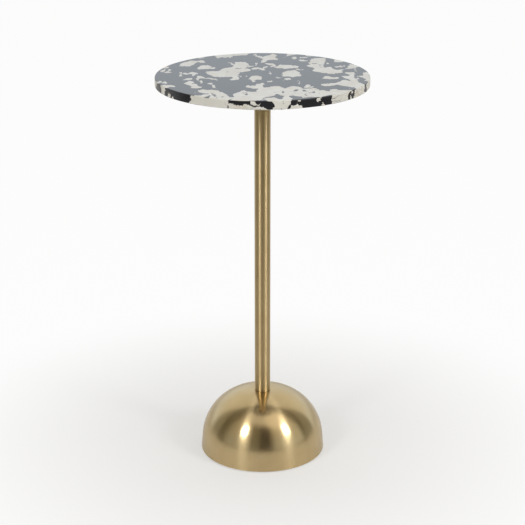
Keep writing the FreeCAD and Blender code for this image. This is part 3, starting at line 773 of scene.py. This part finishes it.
# %% Distance to the flakes
def outline_distance(x, y, outline):
    """Distance from each point to a closed outline, negative inside.
    The distance is the least one to any side, and a point is inside where a line from it to the right
    crosses an odd number of sides."""
    nearest = np.full(x.shape, np.inf)
    inside = np.zeros(x.shape, bool)
    for (ax, ay), (bx, by) in zip(outline, outline[1:] + outline[:1]):
        side_x, side_y = bx - ax, by - ay
        along = ((x - ax) * side_x + (y - ay) * side_y) / (side_x ** 2 + side_y ** 2)
        along = np.clip(along, 0, 1)
        nearest = np.minimum(nearest, np.hypot(x - ax - along * side_x, y - ay - along * side_y))
        crossed = (ay > y) != (by > y)
        meets = ax + (y - ay) * side_x / (side_y or 1)
        inside ^= crossed & (x < meets)
    return np.where(inside, -nearest, nearest)


def splinter_distance(x, y, splinter):
    """About the distance to an ellipse: its own radius measure, less one, times its half width."""
    middle_x, middle_y, half_length, half_width, turn = splinter
    turn = math.radians(turn)
    along = (x - middle_x) * math.cos(turn) + (y - middle_y) * math.sin(turn)
    across = (y - middle_y) * math.cos(turn) - (x - middle_x) * math.sin(turn)
    return (np.hypot(along / half_length, across / half_width) - 1) * half_width


def face_distance(x, y):
    """Distance to the nearest flake or splinter of a face, with the dark gaps taken out again."""
    nearest = np.full(x.shape, np.inf)
    for flake in TOP_FLAKES:
        nearest = np.minimum(nearest, outline_distance(x, y, flake))
    for splinter in TOP_SPLINTERS:
        nearest = np.minimum(nearest, splinter_distance(x, y, splinter))
    for gap in TOP_GAPS:
        nearest = np.maximum(nearest, -splinter_distance(x, y, gap))
    return nearest


middle = face_distance(np.zeros(1), np.zeros(1))[0]
print("the slab's middle lies", round(middle, 1), "mm from the nearest flake")

# %% [markdown]
# The underside is the same mix, turned over. On the rim the flakes of the front are listed too, by
# degrees round it and depth below the top. At the back, where the photograph shows nothing, the flakes of
# both faces run down the rim and narrow as they go, as a stone does that is cut through near its end.

# %% Distance to the flakes all over the slab
UNDERSIDE_TURN = math.radians(65)
# How far the listed flakes go each way from the front, in degrees, and how fast the others narrow.
RIM_SEEN = 84
RIM_TAPER = 0.45


def underside(x, y):
    """The place on the top that an underside point is a copy of: mirrored in x, then turned."""
    across, along = math.cos(UNDERSIDE_TURN), math.sin(UNDERSIDE_TURN)
    return -x * across - y * along, -x * along + y * across


def rim_distance(angle, depth, radius, thickness):
    """Distance to the rim's flakes: listed in front, and carried down from the faces at the back."""
    along = np.radians(angle) * radius
    nearest = np.full(angle.shape, np.inf)
    for flake in RIM_FLAKES:
        outline = [(math.radians(turn) * radius, down) for turn, down in flake]
        nearest = np.minimum(nearest, outline_distance(along, depth, outline))
    edge_x, edge_y = radius * np.sin(np.radians(angle)), -radius * np.cos(np.radians(angle))
    from_top = face_distance(edge_x, edge_y) + RIM_TAPER * depth
    from_below = face_distance(*underside(edge_x, edge_y)) + RIM_TAPER * (thickness - depth)
    return np.where(np.abs(angle) < RIM_SEEN, nearest, np.minimum(from_top, from_below))


def flake_distance(points, radius, low, high, upper, lower):
    """Millimetres from each point of the slab to the nearest flake's edge, negative inside a flake.
    One third of each rounding's height still belongs to the face beside it."""
    x, y, z = points.T / MM
    top = z > (high - upper / 3) / MM
    bottom = z < (low + lower / 3) / MM
    rim = ~(top | bottom)
    distance = np.empty(len(points))
    distance[top] = face_distance(x[top], y[top])
    distance[bottom] = face_distance(*underside(x[bottom], y[bottom]))
    angle = np.degrees(np.arctan2(x[rim], -y[rim]))
    distance[rim] = rim_distance(angle, high / MM - z[rim], radius / MM, (high - low) / MM)
    return distance

# %% [markdown]
# The slab's mesh must carry the distance evenly, also at its middle, where a turned mesh would crowd. So
# both faces are square grids pressed into a disc: each square ring of the grid becomes a circle. The rim
# joins the two grids' outer rings with an arc at the top, a straight wall and an arc below.

# %% Press a square grid into a disc
def disc_grid(squares):
    """A unit disc from a square grid with sides a and b from -1 to 1.
    The greater of a and b is the radius, and the other one over it, times 45 degrees, is the angle from its
    axis, so every square ring becomes a circle with equal steps."""
    side = np.linspace(-1, 1, squares + 1)
    a, b = np.meshgrid(side, side)
    wide = np.abs(a) > np.abs(b)
    reach = np.where(wide, a, b)
    share = np.where(wide, b, a) / np.where(reach == 0, 1, reach) * math.pi / 4
    angle = np.where(wide, share, math.pi / 2 - share)
    return reach * np.cos(angle), reach * np.sin(angle)


def disc_quads(numbers):
    """Quads of a square grid of point numbers, facing up."""
    corners = [numbers[:-1, :-1], numbers[:-1, 1:], numbers[1:, 1:], numbers[1:, :-1]]
    return np.stack(corners, axis=-1).reshape(-1, 4)


def outer_ring(grid):
    """The values round the outside of a square grid, counter-clockwise."""
    return np.concatenate([grid[0, :-1], grid[:-1, -1], grid[-1, :0:-1], grid[:0:-1, 0]])


def puck(radius, low, high, upper, lower, squares, steps, rows):
    """A round slab: a disc on top, rings down an eased edge, and a disc below.
    An edge arc of radius e has r = R - e + e sin t and z = h - e + e cos t, for t up to a quarter turn."""
    x, y = disc_grid(squares)
    turn = np.linspace(0, math.pi / 2, steps + 1)[1:]
    wall = np.linspace(high - upper, low + lower, rows + 1)[1:]
    upper_arc = radius - upper + upper * np.sin(turn), high - upper + upper * np.cos(turn)
    lower_arc = radius - lower + lower * np.cos(turn), low + lower - lower * np.sin(turn)
    reach = np.concatenate([upper_arc[0], np.full(rows, radius), lower_arc[0][:-1]])[:, None]
    height = np.concatenate([upper_arc[1], wall, lower_arc[1][:-1]])[:, None]
    ring_x, ring_y, ring_z = np.broadcast_arrays(reach * outer_ring(x), reach * outer_ring(y), height)
    top = np.stack([x * (radius - upper), y * (radius - upper), np.full_like(x, high)], axis=-1)
    edge = np.stack([ring_x, ring_y, ring_z], axis=-1)
    bottom = np.stack([x * (radius - lower), y * (radius - lower), np.full_like(x, low)], axis=-1)
    top_numbers = np.arange(x.size).reshape(x.shape)
    edge_numbers = x.size + np.arange(ring_x.size).reshape(ring_x.shape)
    bottom_numbers = x.size + ring_x.size + top_numbers
    rings = np.concatenate([outer_ring(top_numbers)[None], edge_numbers, outer_ring(bottom_numbers)[None]])
    points = np.concatenate([part.reshape(-1, 3) for part in (top, edge, bottom)])
    quads = [disc_quads(top_numbers), band(rings[1:], rings[:-1]), disc_quads(bottom_numbers)[:, ::-1]]
    return points, np.concatenate(quads)

# %% [markdown]
# In the finish, noise of three sizes is added to the stored distance before it becomes an edge: long tears,
# the random set-back of angular cells, and fine nicks. Hairline cracks run through the cream, a few crumbs
# of cream lie in the ground, and both stones have their own grain. The faces are polished to a soft gloss,
# which turns the ground grey where it mirrors the pale sweep and leaves it black on the rim.

# %% Colours and sizes in the stone
FLAKE_EDGE = "flake_edge"
GROUND = (0.012, 0.0132, 0.0185)
GROUND_FLECK = (0.022, 0.024, 0.030)
CREAM = (0.66, 0.645, 0.605)
CREAM_WARM = (0.62, 0.585, 0.52)
CRACK = (0.16, 0.155, 0.15)
TEAR_SIZE = 9 * MM
CHIP_SIZE = 5 * MM
NICK_SIZE = 1.8 * MM
# How far tears, nicks and chips move a flake's edge, and how soft it then is, in millimetres.
TEAR_REACH = 5
NICK_REACH = 3
CHIP_REACH = 2.2
EDGE_SOFTNESS = 0.1
CRUMB_SPACING = 11 * MM
CRUMB_EDGE = (0.10, 0.08)
CRUMB_PATCH = 24 * MM
CRUMB_PATCH_EDGE = (0.56, 0.62)
CRACK_SPACING = 34 * MM
CRACK_EDGE = (0.011, 0.004)
CRACK_PATCH = 30 * MM
CRACK_PATCH_EDGE = (0.50, 0.58)
CRACK_BEND = 12 * MM
CRACK_BENDS_PER_METRE = 60.0
CRACK_STRENGTH = 0.8
TONE_SIZE = 26 * MM
TONE_EDGE = (0.40, 0.64)
GRAIN_SIZE = 0.7 * MM
FLECK_EDGE = (0.56, 0.70)
# The polish, and how much the grain and the cream change it.
GLOSS = 0.15
GLOSS_GRAIN = 0.06
GLOSS_CREAM = 0.05
STONE_IOR = 1.6
# The relief's depth, and how much of it the cream, the grain and the cracks take.
STONE_RELIEF = 0.008 * MM
CREAM_RELIEF = 0.6
GRAIN_RELIEF = 0.4
CRACK_RELIEF = 0.6
print("flakes are torn by up to", TEAR_REACH / 2, "mm and nicked by up to", NICK_REACH / 2, "mm")


# %% Mix the terrazzo
def terrazzo():
    """Cream flakes with torn edges in a near-black ground, from the distance kept in the mesh."""
    material, place = new_finish("terrazzo")
    edge = place.node("ShaderNodeAttribute", {"attribute_name": FLAKE_EDGE}, output="Fac")
    tear = noise(place, TEAR_SIZE, detail=3, roughness=0.6)
    nick = noise(place, NICK_SIZE)
    set_back = cell_number(place, CHIP_SIZE)
    torn = edge + TEAR_REACH * (tear - 0.5) + NICK_REACH * (nick - 0.5) + CHIP_REACH * (set_back - 0.5)
    flake = rise(torn, EDGE_SOFTNESS, -EDGE_SOFTNESS)

    few = rise(noise(place, CRUMB_PATCH), *CRUMB_PATCH_EDGE)
    crumb = rise(cells(place, CRUMB_SPACING), *CRUMB_EDGE) * few
    cream = flake.math("MAXIMUM", flake, crumb)

    bends = {"Vector": place, "Scale": CRACK_BENDS_PER_METRE}
    swirl = place.node("ShaderNodeTexNoise", None, bends, output="Color")
    bent = place.node("ShaderNodeVectorMath", {"operation": "MULTIPLY_ADD"},
                      {0: swirl, 1: [CRACK_BEND] * 3, 2: place})
    seam = cells(bent, CRACK_SPACING, feature="DISTANCE_TO_EDGE")
    crack = rise(seam, *CRACK_EDGE) * rise(noise(place, CRACK_PATCH), *CRACK_PATCH_EDGE)

    grain = noise(place, GRAIN_SIZE, detail=3)
    tone = noise(place, TONE_SIZE)
    stone = blend(rise(tone, *TONE_EDGE), CREAM, CREAM_WARM)
    stone = blend(CRACK_STRENGTH * crack, stone, CRACK)
    ground = blend(rise(grain, *FLECK_EDGE), GROUND, GROUND_FLECK)
    colour = blend(cream, ground, stone)
    roughness = GLOSS + GLOSS_GRAIN * (grain - 0.5) + GLOSS_CREAM * cream
    uneven = relief(CREAM_RELIEF * cream + GRAIN_RELIEF * grain - CRACK_RELIEF * crack, STONE_RELIEF)
    show(principled(place, Base_Color=colour, Roughness=roughness, IOR=STONE_IOR, Normal=uneven))
    return material


# %% Cast the slab
SLAB_UPPER_ROUND = 1.2 * MM
SLAB_LOWER_ROUND = 0.8 * MM
SLAB_SQUARES = 200
SLAB_EDGE_STEPS = 4
SLAB_RIM_ROWS = 10


def cast_slab():
    """The slab's mesh, with the distance to the flakes kept at every point."""
    _, radius, low, high = turned_size("terrazzo_top")
    eases = SLAB_UPPER_ROUND, SLAB_LOWER_ROUND
    points, quads = puck(radius, low, high, *eases, SLAB_SQUARES, SLAB_EDGE_STEPS, SLAB_RIM_ROWS)
    slab = add_piece("terrazzo_slab", (points, quads), terrazzo(), "terrazzo_top")
    distance = flake_distance(points, radius, low, high, *eases)
    slab.data.attributes.new(FLAKE_EDGE, "FLOAT", "POINT").data.foreach_set("value", distance)
    print("cream covers about", round(100 * np.mean(distance < 0)), "per cent of the slab")
    return slab


slab = cast_slab()

# %% [markdown]
# Seen from behind, the slab's soft gloss would mirror a softbox as a white patch, and the stone would be
# lost in it. A photographer hides the lamp from the slab with a black card. Light linking does the same
# here: the slab is left out of what the mirrored softboxes light, and still gets the others' matt light.

# %% Hide the mirrored softboxes from the slab
card = bpy.data.collections.new("behind_black_card")
card.objects.link(slab)
card.collection_objects[0].light_linking.link_state = "EXCLUDE"
for softbox in mirrored_softboxes:
    softbox.light_linking.receiver_collection = card
print(len(mirrored_softboxes), "softboxes don't show in the slab")

# %% [markdown]
# ## What holds it together
# The plate under the slab, screws, washers, plugs, the tie bolt, the ballast, the board and the soft ring
# on the floor keep their shapes from the frame: those are exact. They only get the finish of the real
# thing. One colour each would do for what is hidden, but the ring, the bolt and the screws show from below,
# and the table may be taken apart.

# %% [markdown]
# The ring is cut from a sheet of black foam. Voronoi cells are its cut pores, and noise greys it with dust.

# %% Foam rubber for the floor pad
FOAM_PORE = (0.006, 0.006, 0.006)
FOAM_SKIN = (0.03, 0.03, 0.03)
FOAM_DUST = (0.09, 0.085, 0.08)
PORE_SIZE = 0.9 * MM
PORE_EDGE = (0.1, 0.6)
PORE_DEPTH = 0.15 * MM
DUST_SIZE = 14 * MM
DUST_EDGE = (0.5, 0.8)
DUST_SHARE = 0.5
FOAM_ROUGHNESS = 0.80
DUST_ROUGHNESS = 0.15


def foam_rubber():
    """Soft black foam with cut pores, a little grey with dust."""
    material, place = new_finish("foam_rubber")
    pores = cells(place, PORE_SIZE)
    dust = noise(place, DUST_SIZE, detail=3)
    colour = blend(rise(pores, *PORE_EDGE), FOAM_PORE, FOAM_SKIN)
    colour = blend(DUST_SHARE * rise(dust, *DUST_EDGE), colour, FOAM_DUST)
    roughness = FOAM_ROUGHNESS + DUST_ROUGHNESS * dust
    show(principled(place, Base_Color=colour, Roughness=roughness, Normal=relief(pores, PORE_DEPTH)))
    return material

# %% [markdown]
# Bolts, washers, plugs and inserts are zinc-plated steel, bare steel and brass. The three differ in colour
# and polish only, so they share one function: crystals in cells, turning lines round the axis, and stains.

# %% Metal for bolts, washers, plugs and inserts
MOTTLE_SIZE = 1.2 * MM
MOTTLE_MARKS = 0.10
TURNING_SIZE = 0.3 * MM
TURNING_MARKS = 0.12
TURNING_DEPTH = 0.006 * MM
STAIN_SIZE = 8 * MM
STAIN_EDGE = (0.45, 0.70)


def hardware_metal(name, colour, stain, roughness):
    """Plain or plated metal: a fine crystalline mottle, faint turning lines and a cloudy stain."""
    material, place = new_finish(name)
    z = parts(place, "Z")[0]
    shade = cell_number(place, MOTTLE_SIZE)
    lines = noise(place.node("ShaderNodeCombineXYZ", None, {"Z": z}), TURNING_SIZE, detail=3)
    clouds = noise(place, STAIN_SIZE, detail=3)
    stained = blend(rise(clouds, *STAIN_EDGE), colour, stain)
    finish = roughness + MOTTLE_MARKS * (shade - 0.5) + TURNING_MARKS * (lines - 0.5)
    scored = relief(lines, TURNING_DEPTH)
    show(principled(place, Base_Color=stained, Metallic=1.0, Roughness=finish, Normal=scored))
    return material

# %% [markdown]
# The ballast is cement, cast to fill the dome. Its look comes from sand, damp and the air that was trapped.

# %% Cement for the ballast
CEMENT = (0.42, 0.41, 0.39)
CEMENT_DAMP = (0.30, 0.29, 0.27)
CEMENT_SAND = (0.50, 0.48, 0.45)
SAND_SIZE = 1.2 * MM
SAND_EDGE = (0.55, 0.75)
SAND_RELIEF = 0.4
DAMP_SIZE = 30 * MM
DAMP_EDGE = (0.35, 0.70)
HOLE_SPACING = 7 * MM
HOLE_EDGE = (0.10, 0.16)
HOLE_DEPTH = 0.4 * MM
CEMENT_ROUGHNESS = 0.80
SAND_ROUGHNESS = 0.15


def cement():
    """Cast cement: sandy grain, darker damp clouds and small air holes."""
    material, place = new_finish("cement")
    sand = noise(place, SAND_SIZE, detail=4, roughness=0.7)
    clouds = noise(place, DAMP_SIZE, detail=3)
    holes = rise(cells(place, HOLE_SPACING), *HOLE_EDGE)
    colour = blend(rise(clouds, *DAMP_EDGE), CEMENT, CEMENT_DAMP)
    colour = blend(rise(sand, *SAND_EDGE), colour, CEMENT_SAND)
    pitted = relief(holes + SAND_RELIEF * sand, HOLE_DEPTH)
    roughness = CEMENT_ROUGHNESS + SAND_ROUGHNESS * sand
    show(principled(place, Base_Color=colour, Roughness=roughness, Normal=pitted))
    return material

# %% [markdown]
# The board is wood fibre, pressed flat. Noise that is squeezed in height stands for the layers of fibre.

# %% Fibre board for the base
FIBRE_DARK = (0.20, 0.125, 0.065)
FIBRE_PALE = (0.40, 0.28, 0.17)
FIBRE_CLOUD = (0.30, 0.20, 0.12)
FIBRE_SIZE = 1.5 * MM
FIBRE_FLATTENED = (1.0, 1.0, 4.0)
FIBRE_EDGE = (0.35, 0.65)
FIBRE_DEPTH = 0.08 * MM
FIBRE_CLOUD_SIZE = 40 * MM
FIBRE_CLOUD_SHARE = 0.4
BOARD_ROUGHNESS = 0.70
FIBRE_ROUGHNESS = 0.2


def fibre_board():
    """Pressed wood fibre: short pale and dark fibres in a warm brown."""
    material, place = new_finish("fibre_board")
    flat = place.node("ShaderNodeMapping", None, {"Vector": place, "Scale": FIBRE_FLATTENED})
    fibre = noise(flat, FIBRE_SIZE, detail=4, roughness=0.75)
    clouds = noise(place, FIBRE_CLOUD_SIZE)
    colour = blend(rise(fibre, *FIBRE_EDGE), FIBRE_DARK, FIBRE_PALE)
    colour = blend(FIBRE_CLOUD_SHARE * clouds, colour, FIBRE_CLOUD)
    roughness = BOARD_ROUGHNESS + FIBRE_ROUGHNESS * fibre
    show(principled(place, Base_Color=colour, Roughness=roughness, Normal=relief(fibre, FIBRE_DEPTH)))
    return material


# %% A finish for each slot
# Each plain metal takes its colour, the colour of its stains and its roughness.
FINISHES = {
    "satin_brass": dome_brass,
    "foam_rubber": foam_rubber(),
    "zinc_steel": hardware_metal("zinc_steel", (0.60, 0.61, 0.63), (0.50, 0.49, 0.46), 0.36),
    "bare_steel": hardware_metal("bare_steel", (0.44, 0.43, 0.42), (0.30, 0.27, 0.24), 0.42),
    "insert_brass": hardware_metal("insert_brass", (0.74, 0.58, 0.29), (0.58, 0.43, 0.20), 0.34),
    "cement": cement(),
    "fibre_board": fibre_board(),
}
print("finishes:", ", ".join(FINISHES))

# %% Give each node its finish
for subpart in frame["record"]["subparts"]:
    finish = FINISHES.get(subpart["material_slot"])
    if finish:
        for slot in frame["nodes"][subpart["node"]].material_slots:
            slot.link = "OBJECT"
            slot.material = finish
        print(subpart["node"], "is", finish.name)
